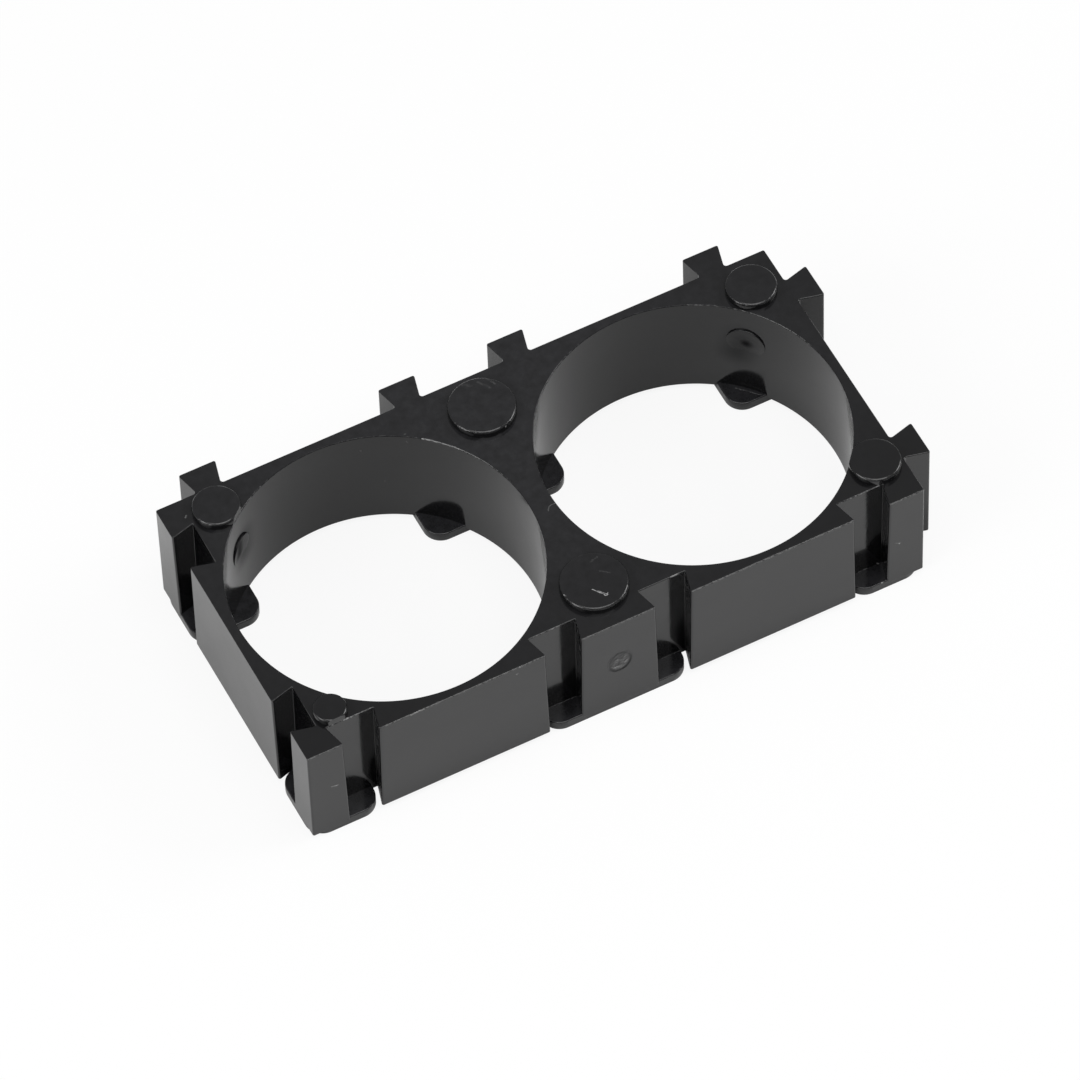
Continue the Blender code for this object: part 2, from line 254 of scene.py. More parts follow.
def layout():
    """The layout for the scene's present sizes."""
    return Layout(bpy.context.scene.holder_sizes)


# Nodes


def add_node(tree, kind, settings=(), values=(), links=()):
    """Add a node with its settings, the values of its sockets and the links into it. Each link comes
    from an output, or from a node's first one.
    """
    node = tree.nodes.new(kind)
    for name, value in dict(settings).items():
        setattr(node, name, value)
    for socket, value in dict(values).items():
        node.inputs[socket].default_value = value
    for socket, source in dict(links).items():
        tree.links.new(getattr(source, "outputs", [source])[0], node.inputs[socket])
    return node


def new_tree(name, inputs):
    """A geometry tree with a geometry socket each way and the named inputs."""
    tree = bpy.data.node_groups.new(name, "GeometryNodeTree")
    tree.interface.new_socket("Geometry", in_out="INPUT", socket_type="NodeSocketGeometry")
    for label, kind in inputs:
        tree.interface.new_socket(label, in_out="INPUT", socket_type=kind)
    tree.interface.new_socket("Geometry", in_out="OUTPUT", socket_type="NodeSocketGeometry")
    return tree, add_node(tree, "NodeGroupInput"), add_node(tree, "NodeGroupOutput")


SLAB_INPUTS = (
    ("Thickness", "NodeSocketFloat"),
    ("Corner Round", "NodeSocketFloat"),
    ("Corner Steps", "NodeSocketInt"),
    ("Edge Round", "NodeSocketFloat"),
    ("Edge Steps", "NodeSocketInt"),
)


def slab_tree():
    """A tree that turns flat outlines into solids with round corners and round rims.

    Each point's own radius scales the round of its corner. A profile of the wall, with its two
    quarter rounds, is swept along each outline, and what is left open at the top and bottom is filled.
    """
    if "moulded_slab" in bpy.data.node_groups:
        return bpy.data.node_groups["moulded_slab"]
    tree, given, result = new_tree("moulded_slab", SLAB_INPUTS)
    own_round = add_node(tree, "GeometryNodeInputRadius")
    corner_round = add_node(
        tree, "ShaderNodeMath", {"operation": "MULTIPLY"},
        links={0: own_round, 1: given.outputs["Corner Round"]},
    )
    path = add_node(
        tree, "GeometryNodeFilletCurve", {"mode": "POLY"},
        links={
            "Curve": given.outputs["Geometry"], "Count": given.outputs["Corner Steps"],
            "Radius": corner_round,
        },
    )
    even = add_node(tree, "GeometryNodeSetCurveRadius", values={"Radius": 1.0}, links={"Curve": path})
    upright = add_node(tree, "GeometryNodeSetCurveNormal", {"mode": "Z_UP"}, links={"Curve": even})
    half, minus_half, inset = (
        add_node(tree, "ShaderNodeMath", {"operation": "MULTIPLY"}, {1: share}, {0: given.outputs[label]})
        for label, share in (("Thickness", 0.5), ("Thickness", -0.5), ("Edge Round", -1.0))
    )
    places = ({"X": inset, "Y": minus_half}, {"Y": minus_half}, {"Y": half}, {"X": inset, "Y": half})
    corners = [add_node(tree, "ShaderNodeCombineXYZ", links=place) for place in places]
    profile = add_node(
        tree, "GeometryNodeCurvePrimitiveQuadrilateral", {"mode": "POINTS"},
        links={f"Point {i}": corner for i, corner in enumerate(corners, 1)},
    )
    wall = add_node(
        tree, "GeometryNodeSetSplineCyclic", values={"Cyclic": False}, links={"Geometry": profile},
    )
    wall_round = add_node(
        tree, "GeometryNodeFilletCurve", {"mode": "POLY"}, {"Limit Radius": True},
        {"Curve": wall, "Count": given.outputs["Edge Steps"], "Radius": given.outputs["Edge Round"]},
    )
    swept = add_node(
        tree, "GeometryNodeCurveToMesh", links={"Curve": upright, "Profile Curve": wall_round},
    )
    neighbours = add_node(tree, "GeometryNodeInputMeshEdgeNeighbors")
    is_rim = add_node(
        tree, "FunctionNodeCompare", {"data_type": "INT", "operation": "EQUAL"},
        {"B": 1}, {"A": neighbours},
    )
    position = add_node(tree, "GeometryNodeInputPosition")
    split = add_node(tree, "ShaderNodeSeparateXYZ", links={0: position})
    is_high = add_node(
        tree, "FunctionNodeCompare", {"data_type": "FLOAT", "operation": "GREATER_THAN"},
        {"B": 0.0}, {"A": split.outputs["Z"]},
    )
    both = add_node(
        tree, "FunctionNodeBooleanMath", {"operation": "AND"}, links={0: is_rim, 1: is_high},
    )
    rim = add_node(tree, "GeometryNodeMeshToCurve", links={"Mesh": swept, "Selection": both})
    cap = add_node(tree, "GeometryNodeFillCurve", {"mode": "NGONS"}, links={"Curve": rim})
    moves = [add_node(tree, "ShaderNodeCombineXYZ", links={"Z": height}) for height in (half, minus_half)]
    top, bottom = (
        add_node(tree, "GeometryNodeTransform", links={"Geometry": cap, "Translation": move})
        for move in moves
    )
    turned = add_node(tree, "GeometryNodeFlipFaces", links={"Mesh": bottom})
    joined = add_node(tree, "GeometryNodeJoinGeometry")
    for piece in (turned, top, swept):
        tree.links.new(piece.outputs[0], joined.inputs[0])
    closed = add_node(
        tree, "GeometryNodeMergeByDistance", values={"Distance": MERGE_DISTANCE},
        links={"Geometry": joined},
    )
    real = add_node(tree, "GeometryNodeRealizeInstances", links={"Geometry": closed})
    tree.links.new(real.outputs[0], result.inputs["Geometry"])
    return tree


def repeated_tree(name, kind):
    """A tree that sets an outline on each point, scaled by the point's own size, and makes slabs."""
    tree, given, result = new_tree(name, SLAB_INPUTS)
    if kind == "round":
        outline = add_node(
            tree, "GeometryNodeCurvePrimitiveCircle", {"mode": "RADIUS"},
            {"Resolution": PAD_STEPS, "Radius": 0.5},
        )
    else:
        outline = add_node(
            tree, "GeometryNodeCurvePrimitiveQuadrilateral", {"mode": "RECTANGLE"},
            {"Width": 1.0, "Height": 1.0},
        )
    size = add_node(
        tree, "GeometryNodeInputNamedAttribute", {"data_type": "FLOAT_VECTOR"}, {"Name": "size"},
    )
    placed = add_node(
        tree, "GeometryNodeInstanceOnPoints",
        links={
            "Points": given.outputs["Geometry"], "Instance": outline, "Scale": size.outputs["Attribute"],
        },
    )
    real = add_node(tree, "GeometryNodeRealizeInstances", links={"Geometry": placed})
    even = add_node(tree, "GeometryNodeSetCurveRadius", values={"Radius": 1.0}, links={"Curve": real})
    slab = add_node(tree, "GeometryNodeGroup", {"node_tree": slab_tree()}, links={"Geometry": even})
    for label, _ in SLAB_INPUTS:
        tree.links.new(given.outputs[label], slab.inputs[label])
    tree.links.new(slab.outputs["Geometry"], result.inputs["Geometry"])
    return tree


def slabs(outlines, tree, low, high, corner_round, corner_steps, edge_round):
    """Bake an object's outlines into slabs between two heights, as one plain mesh."""
    modifier = outlines.modifiers.new(tree.name, "NODES")
    modifier.node_group = tree
    sockets = {item.name: item.identifier for item in tree.interface.items_tree if item.in_out == "INPUT"}
    values = (high - low, corner_round, corner_steps, edge_round, EDGE_STEPS)
    for (label, _), value in zip(SLAB_INPUTS, values):
        modifier[sockets[label]] = value
    thing = plain_mesh(outlines)
    middle = (0, 0, (low + high) / 2)
    reshape(thing, lambda shape: bmesh.ops.translate(shape, verts=shape.verts, vec=middle))
    return thing


def new_object(name, data):
    """An object for the data, in the scene."""
    thing = bpy.data.objects.new(name, data)
    bpy.context.scene.collection.objects.link(thing)
    return thing


def plain_mesh(thing):
    """Replace an object by a mesh object of what its modifiers give."""
    bpy.context.view_layer.update()
    depsgraph = bpy.context.evaluated_depsgraph_get()
    mesh = bpy.data.meshes.new_from_object(thing.evaluated_get(depsgraph))
    name = thing.name
    thing.modifiers.clear()
    bpy.data.objects.remove(thing, do_unlink=True)
    mesh.name = name
    return new_object(name, mesh)


def reshape(thing, change):
    """Change an object's mesh through a bmesh, and leave its faces pointing out."""
    shape = bmesh.new()
    shape.from_mesh(thing.data)
    change(shape)
    bmesh.ops.recalc_face_normals(shape, faces=shape.faces)
    shape.to_mesh(thing.data)
    shape.free()


# The block's outline


def dovetail_corners(middle, along, outward, width, reach, flare):
    """The four corners of a tab, or of a slot where reach is negative, in order along the side."""
    far = middle + reach * outward
    half = along * width / 2
    far_half = along * (width / 2 + abs(reach) * flare)
    return [middle - half, far - far_half, far + far_half, middle + half]


def dovetail_places(plan, side):
    """Where the dovetails' middles lie along a side, as points on its face."""
    offsets = (-plan.dovetail_offset, plan.dovetail_offset)
    if side in ("front", "back"):
        y = plan.half_width if side == "back" else -plan.half_width
        return [Vector((axis + offset, y)) for axis in plan.axes for offset in offsets]
    x = plan.half_length if side == "right" else -plan.half_length
    return [Vector((x, offset)) for offset in offsets]


def rounded_slot(plan, middle, along, outward):
    """A slot's corners, each with its round as a share of the corner round."""
    inner = SLOT_CORNER_ROUND / plan.corner_round
    corners = dovetail_corners(middle, along, outward, plan.slot_mouth, -plan.slot_depth, plan.flare)
    return list(zip(corners, (1, inner, inner, 1)))


def rounded_tab(plan, middle, along, outward):
    """A tab's corners, each with its round as a share of the corner round."""
    root = TAB_ROOT_ROUND / plan.corner_round
    corners = dovetail_corners(middle, along, outward, plan.tab_root, plan.tab_length, plan.flare)
    return list(zip(corners, (root, 1, 1, root)))


def block_corners(plan):
    """Corners of the block's outline, going round it anticlockwise from the front left."""
    length, width = plan.half_length, plan.half_width
    corners = [(Vector((-length, -width)), 1)]
    for middle in dovetail_places(plan, "front"):
        corners += rounded_slot(plan, middle, ALONG, -BACK)
    corners.append((Vector((length, -width)), 1))
    for middle in dovetail_places(plan, "right"):
        corners += rounded_tab(plan, middle, BACK, ALONG)
    corners.append((Vector((length, width)), 1))
    for middle in reversed(dovetail_places(plan, "back")):
        corners += rounded_tab(plan, middle, -ALONG, BACK)
    corners.append((Vector((-length, width)), 1))
    for middle in reversed(dovetail_places(plan, "left")):
        corners += rounded_slot(plan, middle, -BACK, -ALONG)
    return corners


def outline_object(name, corners):
    """A curve object with a closed polyline through the corners, each point's radius its round."""
    curve = bpy.data.curves.new(name, "CURVE")
    curve.dimensions = "3D"
    spline = curve.splines.new("POLY")
    spline.points.add(len(corners) - 1)
    for target, (point, own_round) in zip(spline.points, corners):
        target.co = (point.x, point.y, 0, 1)
        target.radius = own_round
    spline.use_cyclic_u = True
    return new_object(name, curve)


def points_object(name, places):
    """A mesh of loose points, each with the size of what stands on it."""
    mesh = bpy.data.meshes.new(name)
    mesh.from_pydata([(centre.x, centre.y, 0) for centre, size in places], [], [])
    sizes = mesh.attributes.new("size", "FLOAT_VECTOR", "POINT")
    for entry, (centre, size) in zip(sizes.data, places):
        entry.vector = (size[0], size[1], 1)
    return new_object(name, mesh)


def draft_slots(shape, plan):
    """Narrow each slot from the top down, as the moulding tool leaves it."""
    reach = plan.slot_inside / 2 + 2 * plan.edge_round
    depth = plan.slot_depth + 2 * plan.edge_round
    for side, along, inward in (("front", ALONG, BACK), ("left", BACK, ALONG)):
        for middle in dovetail_places(plan, side):
            for vert in shape.verts:
                offset = vert.co.xy - middle
                aside, inside = offset.dot(along), offset.dot(inward)
                if abs(aside) > reach or inside > depth:
                    continue
                taper = (plan.top - vert.co.z) * math.tan(SLOT_DRAFT)
                vert.co.xy -= along * math.copysign(taper, aside)
                if inside > plan.slot_depth / 2:
                    vert.co.xy -= inward * taper


def arc(centre, radius, start, sweep, steps):
    """Points along an arc, both ends included."""
    angles = [start + sweep * i / steps for i in range(steps + 1)]
    return [centre + radius * Vector((math.cos(a), math.sin(a))) for a in angles]


def turned_forms(name, profile, places, steps):
    """Solids turned round their own Z from one profile of radius and height, at each place."""
    shape = bmesh.new()
    for place in places:
        verts = [shape.verts.new((point.x, 0, point.y)) for point in profile]
        edges = [shape.edges.new(pair) for pair in zip(verts, verts[1:])]
        bmesh.ops.spin(
            shape, geom=verts + edges, cent=(0, 0, 0), axis=(0, 0, 1), angle=2 * math.pi, steps=steps,
        )
        bmesh.ops.transform(shape, verts=[vert for vert in shape.verts if not vert.tag], matrix=place)
        for vert in shape.verts:
            vert.tag = True
    bmesh.ops.remove_doubles(shape, verts=shape.verts, dist=MERGE_DISTANCE)
    bmesh.ops.recalc_face_normals(shape, faces=shape.faces)
    return form_object(name, shape)


def form_object(name, shape):
    """An object for a bmesh, which it frees."""
    mesh = bpy.data.meshes.new(name)
    shape.to_mesh(mesh)
    shape.free()
    return new_object(name, mesh)


def combine(target, form, operation):
    """Join a form to the target or cut it away, and remove the form."""
    modifier = target.modifiers.new(form.name, "BOOLEAN")
    modifier.operation = operation
    modifier.solver = "EXACT"
    modifier.object = form
    finished = plain_mesh(target)
    bpy.data.objects.remove(form, do_unlink=True)
    return finished


# Pieces


class HOLDER_OT_block(bpy.types.Operator):
    """Model the block with its tabs and slots, and bore it"""

    bl_idname = "object.holder_block"
    bl_label = "Holder Block"

    def execute(self, context):
        plan = layout()
        block = slabs(
            outline_object("block", block_corners(plan)), slab_tree(), plan.bottom, plan.top,
            plan.corner_round, CORNER_STEPS, plan.edge_round,
        )
        reshape(block, lambda shape: draft_slots(shape, plan))
        combine(block, bore_forms(plan), "DIFFERENCE")
        return {"FINISHED"}


def bore_forms(plan):
    """The bores, flared at both ends where their rims are round."""
    flare = plan.bore_radius + plan.edge_round
    low = plan.bottom + plan.edge_round - FLARE_OVERRUN
    high = plan.top - plan.edge_round + FLARE_OVERRUN
    profile = [Vector((0, plan.bottom - OVERRUN)), Vector((flare, plan.bottom - OVERRUN))]
    profile += arc(Vector((flare, low)), plan.edge_round, -math.pi / 2, -math.pi / 2, EDGE_STEPS)
    profile += arc(Vector((flare, high)), plan.edge_round, math.pi, -math.pi / 2, EDGE_STEPS)
    profile += [Vector((flare, plan.top + OVERRUN)), Vector((0, plan.top + OVERRUN))]
    places = [Matrix.Translation((x, 0, 0)) for x in plan.axes]
    return turned_forms("bore_forms", profile, places, BORE_STEPS)


def pad_places(plan):
    """Centre and diameter of each raised pad."""
    places = []
    for from_end, from_side, diameter, x_sign, y_sign in CORNER_PADS:
        centre = Vector((x_sign * (plan.half_length - from_end), y_sign * (plan.half_width - from_side)))
        places.append((centre, (diameter, diameter)))
    for y in (plan.half_width - BACK_MIDDLE_PAD, FRONT_MIDDLE_PAD - plan.half_width):
        places.append((Vector((0, y)), (MIDDLE_PAD_DIAMETER, MIDDLE_PAD_DIAMETER)))
    return places


def trimming_forms(plan):
    """The spaces of the bores and slots, a hair wider, which trim the pads."""
    low, high = plan.top - OVERLAP - OVERRUN, plan.top + plan.pad_height + OVERRUN
    radius = plan.bore_radius + PAD_SETBACK
    outlines = []
    for x in plan.axes:
        outlines.append(arc(Vector((x, 0)), radius, math.pi / BORE_STEPS, 2 * math.pi, BORE_STEPS)[:-1])
    for side, along, outward in (("front", ALONG, -BACK), ("left", BACK, -ALONG)):
        for middle in dovetail_places(plan, side):
            start = middle + outward * OVERRUN
            width = plan.slot_mouth - 2 * (OVERRUN - PAD_SETBACK) * plan.flare
            reach = -plan.slot_depth - PAD_SETBACK - OVERRUN
            outlines.append(dovetail_corners(start, along, outward, width, reach, plan.flare))
    shape = bmesh.new()
    for outline in outlines:
        face = shape.faces.new([shape.verts.new((point.x, point.y, low)) for point in outline])
        raised = bmesh.ops.extrude_face_region(shape, geom=[face])["geom"]
        moved = [part for part in raised if isinstance(part, bmesh.types.BMVert)]
        bmesh.ops.translate(shape, verts=moved, vec=(0, 0, high - low))
    bmesh.ops.recalc_face_normals(shape, faces=shape.faces)
    return form_object("trimming_forms", shape)


class HOLDER_OT_pads(bpy.types.Operator):
    """Set the six raised pads on the block's top"""

    bl_idname = "object.holder_pads"
    bl_label = "Raised Pads"

    def execute(self, context):
        plan = layout()
        pads = slabs(
            points_object("pads", pad_places(plan)), repeated_tree("raised_pads", "round"),
            plan.top - OVERLAP, plan.top + plan.pad_height, 0.0, 1, PAD_RIM_ROUND,
        )
        pads = combine(pads, trimming_forms(plan), "DIFFERENCE")
        combine(bpy.data.objects["block"], pads, "UNION")
        return {"FINISHED"}


class HOLDER_OT_lips(bpy.types.Operator):
    """Put the six lips under the posts"""

    bl_idname = "object.holder_lips"
    bl_label = "Lips"

    def execute(self, context):
        plan = layout()
        corner_length = CORNER_LIP_LENGTH - LIP_SETBACK
        depth = LIP_DEPTH - LIP_SETBACK
        y = plan.half_width - LIP_SETBACK - depth / 2
        x = plan.half_length - LIP_SETBACK - corner_length / 2
        spans = ((-x, corner_length), (0, MIDDLE_LIP_LENGTH), (x, corner_length))
        places = [
            (Vector((middle, sign * y)), (length, depth)) for middle, length in spans for sign in (-1, 1)
        ]
        lips = slabs(
            points_object("lips", places), repeated_tree("cell_lips", "square"), 0.0, plan.lip_thickness,
            LIP_CORNER_ROUND, 3 * CORNER_STEPS, plan.edge_round,
        )
        combine(bpy.data.objects["block"], lips, "UNION")
        return {"FINISHED"}


def low_pad_profile(radius, height, rim_round):
    """Radius and height along a low turned pad with a round rim, from its foot to its middle."""
    rim = arc(Vector((radius - rim_round, height - rim_round)), rim_round, 0, math.pi / 2, EDGE_STEPS)
    face = [Vector((radius * share, height)) for share in (0.75, 0.5, 0.25, 0.0)]
    return [Vector((0, -OVERLAP)), Vector((radius, -OVERLAP)), *rim, *face]


def wall_pad_form(plan, axis, angle, below_top, diameter):
    """A low pad that follows the bore's wall, and rises out of it toward its upper edge."""
    radius = diameter / 2
    pad = turned_forms(
        "wall_pad", low_pad_profile(radius, WALL_PAD_HEIGHT, WALL_PAD_RIM_ROUND), [Matrix()], MARK_STEPS,
    )
    spoke = Vector((math.cos(angle), math.sin(angle), 0))
    wall = Vector((axis, 0, plan.top - below_top)) + spoke * plan.bore_radius
    inward = Matrix.Rotation(angle, 4, "Z") @ Matrix.Rotation(-math.pi / 2, 4, "Y")

    def follow_wall(shape):
        for vert in shape.verts:
            if vert.co.z > -OVERLAP / 2:
                upward = (vert.co.x + radius) / (2 * radius)
                share = WALL_PAD_FOOT + (1 - WALL_PAD_FOOT) * upward
                bend = plan.bore_radius - math.sqrt(plan.bore_radius ** 2 - vert.co.y ** 2)
                vert.co.z = bend + vert.co.z * share
        bmesh.ops.transform(shape, verts=shape.verts, matrix=Matrix.Translation(wall) @ inward)

    reshape(pad, follow_wall)
    return pad


class HOLDER_OT_marks(bpy.types.Operator):
    """Add the oval gate mark with its stub, and the low pads on the bores' back walls"""

    bl_idname = "object.holder_marks"
    bl_label = "Moulding Marks"

    def execute(self, context):
        plan = layout()
        outward = Matrix.Rotation(math.pi / 2, 4, "X")
        gate_height = plan.top - GATE_BELOW_TOP
        oval = Matrix.Diagonal((GATE_WIDTH / 2, GATE_HEIGHT / 2, 1, 1))
        profile = [Vector((share, -depth * GATE_DEPTH)) for share, depth in GATE_PROFILE]
        profile += [Vector((GATE_PROFILE[-1][0], OVERLAP)), Vector((0, OVERLAP))]
        face = Matrix.Translation((0, -plan.half_width, gate_height))
        recess = turned_forms("gate_recess", profile, [face @ outward @ oval], MARK_STEPS)
        stub_place = Matrix.Translation(
            (GATE_STUB_ASIDE, -plan.half_width + GATE_STUB_SETBACK, gate_height + GATE_STUB_ABOVE)
        )
        stub_profile = low_pad_profile(GATE_STUB_DIAMETER / 2, 0, WALL_PAD_RIM_ROUND)
        stub = turned_forms("gate_stub", stub_profile, [stub_place @ outward], MARK_STEPS // 2)
        wall_pads = [wall_pad_form(plan, axis, *pad) for axis, pad in zip(plan.axes, WALL_PADS)]
        holder = bpy.data.objects["block"]
        holder = combine(holder, recess, "DIFFERENCE")
        for form in (stub, *wall_pads):
            holder = combine(holder, form, "UNION")
        return {"FINISHED"}


# Materials


def linear(hex_colour):
    """An sRGB hex colour as linear red, green, blue and alpha."""
    values = [int(hex_colour[i:i + 2], 16) / 255 for i in (1, 3, 5)]
    return [v / 12.92 if v <= 0.04045 else ((v + 0.055) / 1.055) ** 2.4 for v in values] + [1.0]


def new_material(name):
    """An empty node material with its output."""
    material = bpy.data.materials.new(name)
    material.use_nodes = True
    material.node_tree.nodes.clear()
    return material, material.node_tree, add_node(material.node_tree, "ShaderNodeOutputMaterial")


# Small light marks: scratches, burrs and stretched plastic of the real piece, and painted highlights
# along some edges, rims and creases. Each is a line between two points about the middle of the block,
# with its half width, all in mm, and how light it is.
MARKS_AND_HIGHLIGHTS = (
    # Burrs along the top back edges of the front slots; their light lines also paint the edges' highlight
    ((-31.1, -14.72, 14.35), (-28.6, -14.68, 14.35), 0.15, 0.7),
    ((-29.4, -14.68, 14.35), (-26.3, -14.66, 14.35), 0.12, 0.45),
    ((-8.6, -14.68, 14.35), (-5.2, -14.66, 14.35), 0.11, 0.35),
    ((26.4, -14.68, 14.35), (31.0, -14.66, 14.35), 0.11, 0.4),
    ((7.2, -14.66, 14.35), (8.1, -14.63, 14.33), 0.13, 0.6),
    # Painted highlights along the creases where the slots and bores meet the lips
    ((-7.2, -14.88, 1.22), (-4.0, -14.9, 1.22), 0.1, 0.22),
    ((5.9, -14.88, 1.22), (8.2, -14.9, 1.22), 0.1, 0.22),
    ((28.4, 11.56, 1.2), (30.3, 9.55, 1.2), 0.09, 0.22),
    ((28.55, -14.88, 1.22), (29.5, -14.88, 1.22), 0.11, 0.22),
    ((30.65, -14.88, 1.35), (30.9, -14.88, 1.1), 0.15, 0.4),
    # Front right lip: a nick in its front edge
    ((30.0, -17.2, 1.16), (30.1, -17.2, 1.12), 0.13, 0.7),
    # Front middle pad: a double scratch, a nick in its rim and dull strokes
    ((-0.63, -12.8, 15.2), (0.22, -14.05, 15.2), 0.09, 0.9),
    ((-0.24, -13.2, 15.2), (0.5, -14.1, 15.2), 0.07, 0.75),
    ((0.3, -14.15, 15.2), (0.56, -13.86, 15.2), 0.07, 0.7),
    ((-3.47, -11.9, 15.15), (-3.4, -12.2, 15.15), 0.1, 0.6),
    ((0.2, -8.5, 15.2), (1.1, -8.4, 15.2), 0.16, 0.07),
    ((0.7, -9.7, 15.2), (1.6, -9.5, 15.2), 0.16, 0.06),
    ((1.05, -11.15, 15.2), (1.85, -11.8, 15.2), 0.14, 0.06),
    # Back middle pad: dull strokes, and nicks in its rim
    ((1.95, 15.6, 15.2), (2.4, 14.57, 15.2), 0.18, 0.08),
    ((0.96, 15.56, 15.2), (1.72, 14.36, 15.2), 0.22, 0.05),
    ((-0.6, 16.0, 15.2), (0.1, 15.45, 15.2), 0.26, 0.04),
    ((-2.1, 10.3, 15.15), (-2.0, 10.25, 15.15), 0.11, 0.3),
    ((1.0, 9.35, 14.95), (1.1, 9.38, 14.95), 0.15, 0.5),
    # Middle wall: a hooked scuff
    ((0.15, -1.6, 14.35), (0.5, -1.1, 14.35), 0.1, 0.16),
    ((0.5, -1.1, 14.35), (1.15, -1.03, 14.35), 0.1, 0.18),
    # Front faces: a dash on the left post, a nick on the right one, and painted highlights on worn
    # stretches of the top edge
    ((-32.4, -17.25, 7.95), (-31.75, -17.25, 7.8), 0.13, 0.55),
    ((31.97, -17.25, 6.9), (32.0, -17.25, 6.93), 0.13, 0.8),
    ((31.45, -17.25, 7.28), (31.9, -17.25, 7.0), 0.1, 0.2),
    ((29.5, -17.25, 4.6), (29.6, -17.25, 4.9), 0.09, 0.25),
    ((-23.4, -17.2, 14.3), (-21.8, -17.2, 14.32), 0.12, 0.4),
    ((-11.3, -17.2, 14.3), (-10.5, -17.2, 14.25), 0.13, 0.4),
    ((-11.5, -17.25, 13.4), (-11.4, -17.25, 13.4), 0.13, 0.35),
    # Gate mark: bright patches of the torn surface
    ((-0.62, -17.2, 6.95), (-0.2, -17.2, 6.9), 0.22, 0.3),
    ((0.55, -17.2, 7.2), (0.85, -17.2, 7.5), 0.14, 0.25),
    # Left end: nicks beside the back pad and at the bore's rim
    ((-32.5, 15.0, 14.35), (-32.3, 15.2, 14.35), 0.12, 0.25),
    ((-33.6, 1.95, 14.3), (-33.55, 1.8, 14.3), 0.12, 0.6),
    # Bore walls: specks
    ((-12.6, 15.5, 12.2), (-12.5, 15.5, 12.1), 0.11, 0.16),
    ((-10.46, 14.65, 6.6), (-10.4, 14.6, 6.5), 0.11, 0.14),
    ((-8.3, 13.4, 13.5), (-8.25, 13.35, 13.4), 0.1, 0.16),
    # Worn top edges of the front faces, lit up with a painted highlight
    ((-34.7, -17.22, 14.32), (-30.9, -17.22, 14.32), 0.17, 0.17),
    ((-26.7, -17.22, 14.32), (-8.3, -17.22, 14.32), 0.17, 0.17),
    ((-4.1, -17.22, 14.32), (4.1, -17.22, 14.32), 0.17, 0.17),
    ((8.3, -17.22, 14.32), (26.7, -17.22, 14.32), 0.17, 0.2),
    ((30.9, -17.22, 14.32), (34.7, -17.22, 14.32), 0.17, 0.2),
    # Painted highlights on the bores' rims, where they face the camera
    ((24.5, 14.75, 14.33), (27.0, 13.25, 14.33), 0.1, 0.16),
    ((27.0, 13.25, 14.33), (30.5, 9.8, 14.33), 0.1, 0.12),
    ((-7.0, 12.45, 14.33), (-5.9, 11.45, 14.33), 0.13, 0.5),
    ((-5.9, 11.45, 14.33), (-4.5, 9.85, 14.33), 0.12, 0.38),
    ((-4.5, 9.85, 14.33), (-3.0, 7.3, 14.33), 0.11, 0.28),
    ((-8.35, 13.8, 14.35), (-8.25, 13.8, 14.35), 0.13, 0.12),
)

# Dull places, where the gloss is lost: the middles of the wall pads and the skin round them, and a
# ring round the gate mark. Like the marks, each has two points, its half width and its strength.
GATE_RING = [
    (1.25 * math.cos(k * math.pi / 6), -17.25, 7.75 + 1.5 * math.sin(k * math.pi / 6)) for k in range(13)
]
DULL_PLACES = (
    ((29.35, 11.0, 9.0), (29.35, 11.0, 9.0), 1.5, 0.92),
    ((29.2, 11.2, 9.4), (28.7, 11.7, 7.0), 3.0, 0.45),
    ((-28.1, 12.25, 9.9), (-28.1, 12.25, 8.6), 2.0, 0.85),
    ((-27.4, 13.0, 9.6), (-27.4, 13.0, 7.4), 2.8, 0.45),
    *((start, end, 0.32, 0.35) for start, end in zip(GATE_RING, GATE_RING[1:])),
)

# The skin inside the gate mark, which was torn and left uneven
GATE_SKIN = (((-0.1, -17.2, 7.3), (0.1, -17.2, 8.2), 1.5, 0.75),)


# Noises of the finish: how far apart the forms of each lie, its detail and its roughness
NOISES = {
    "clouds": (4.0 * MM, 4.0, 0.6),
    "ripple": (6.0 * MM, 1.0, 0.5),
    "wear": (0.6 * MM, 2.0, 0.5),
    "grain": (0.15 * MM, 2.0, 0.5),
    "blotches": (1.0 * MM, 5.0, 0.65),
    "ragged": (0.3 * MM, 2.0, 0.5),
}
# The values of a noise between which it counts
NOISE_RANGE = {"From Min": 0.3, "From Max": 0.7}

# How much less and more rough the clouds are, and how much more the worn edges
CLOUD_GLOSS = 0.03
CLOUD_DULLING = 0.05
EDGE_DULLING = 0.4

# Strength of the faint bumps, and how deep each bump goes
FAINT = 0.1
RIPPLE_DEPTH = 0.3 * MM
WEAR_DEPTH = 0.3 * MM
GRAIN_DEPTH = 0.01 * MM

# Dust: the middle of its film and how far it reaches along and across, the heights between which the
# lips' lightening ends, and how strong it all is
DUST_MIDDLE = (-2.0 * MM, 8.0 * MM, 0)
DUST_REACH = (45 * MM, 28 * MM)
LIP_LIGHTENING = {"From Min": 1.3 * MM, "From Max": 1.8 * MM}
DUST_STRENGTH = 0.5

# Light marks and painted highlights: how far their edges stray, and the roughness of the strongest
MARK_STRAY = 0.25 * MM
MARK_ROUGHNESS = 0.5

# The colour sockets of a Mix node: both inputs and the output
FIRST_COLOUR = 6
SECOND_COLOUR = 7
MIXED_COLOUR = 2


